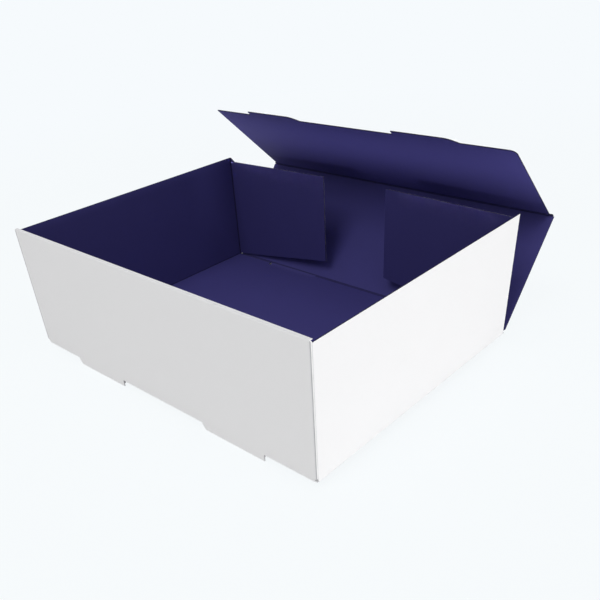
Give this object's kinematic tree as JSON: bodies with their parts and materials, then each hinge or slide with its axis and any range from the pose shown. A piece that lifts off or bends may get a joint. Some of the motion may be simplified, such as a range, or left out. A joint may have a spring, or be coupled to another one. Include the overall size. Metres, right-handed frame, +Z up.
{
  "type": "tray box",
  "caption": "Open board tray folded from one sheet: rolled, tab-locked front end, rear end standing open with hinged wall, roll-over and dust flaps.",
  "frame": {"origin": "centre of the floor panel's underside", "axes": "+X across the tray, +Y from the locked front end to the open rear end, +Z up out of the tray"},
  "size_m": [0.31, 0.3037, 0.1546],
  "materials": {
    "tray_board": "matte board, navy inside and white outside",
    "flap_board": "matte board, navy inside and white outside"
  },
  "bodies": {
    "tray": {"tray": "tray_board"},
    "rear_wall": {"rear_wall": "flap_board"},
    "rear_rollover": {"rear_rollover": "flap_board"},
    "left_dust_flap": {"left_dust_flap": "flap_board"},
    "right_dust_flap": {"right_dust_flap": "flap_board"}
  },
  "joints": [
    {"name": "rear_wall_hinge", "type": "hinge", "parent": "tray", "child": "rear_wall", "pos_m": [0, 0.1196, 0.0004], "axis": [-1, 0, 0], "range_deg": [-39, 51]},
    {"name": "rear_rollover_hinge", "type": "hinge", "parent": "rear_wall", "child": "rear_rollover", "pos_m": [0, 0.18329, 0.07905], "axis": [1, 0, 0], "range_deg": [-88, 20]},
    {"name": "left_dust_flap_hinge", "type": "hinge", "parent": "tray", "child": "left_dust_flap", "pos_m": [-0.15395, 0.11815, 0.05], "axis": [0, 0, -1], "range_deg": [0, 90]},
    {"name": "right_dust_flap_hinge", "type": "hinge", "parent": "tray", "child": "right_dust_flap", "pos_m": [0.15395, 0.11815, 0.05], "axis": [0, 0, 1], "range_deg": [0, 90]}
  ]
}
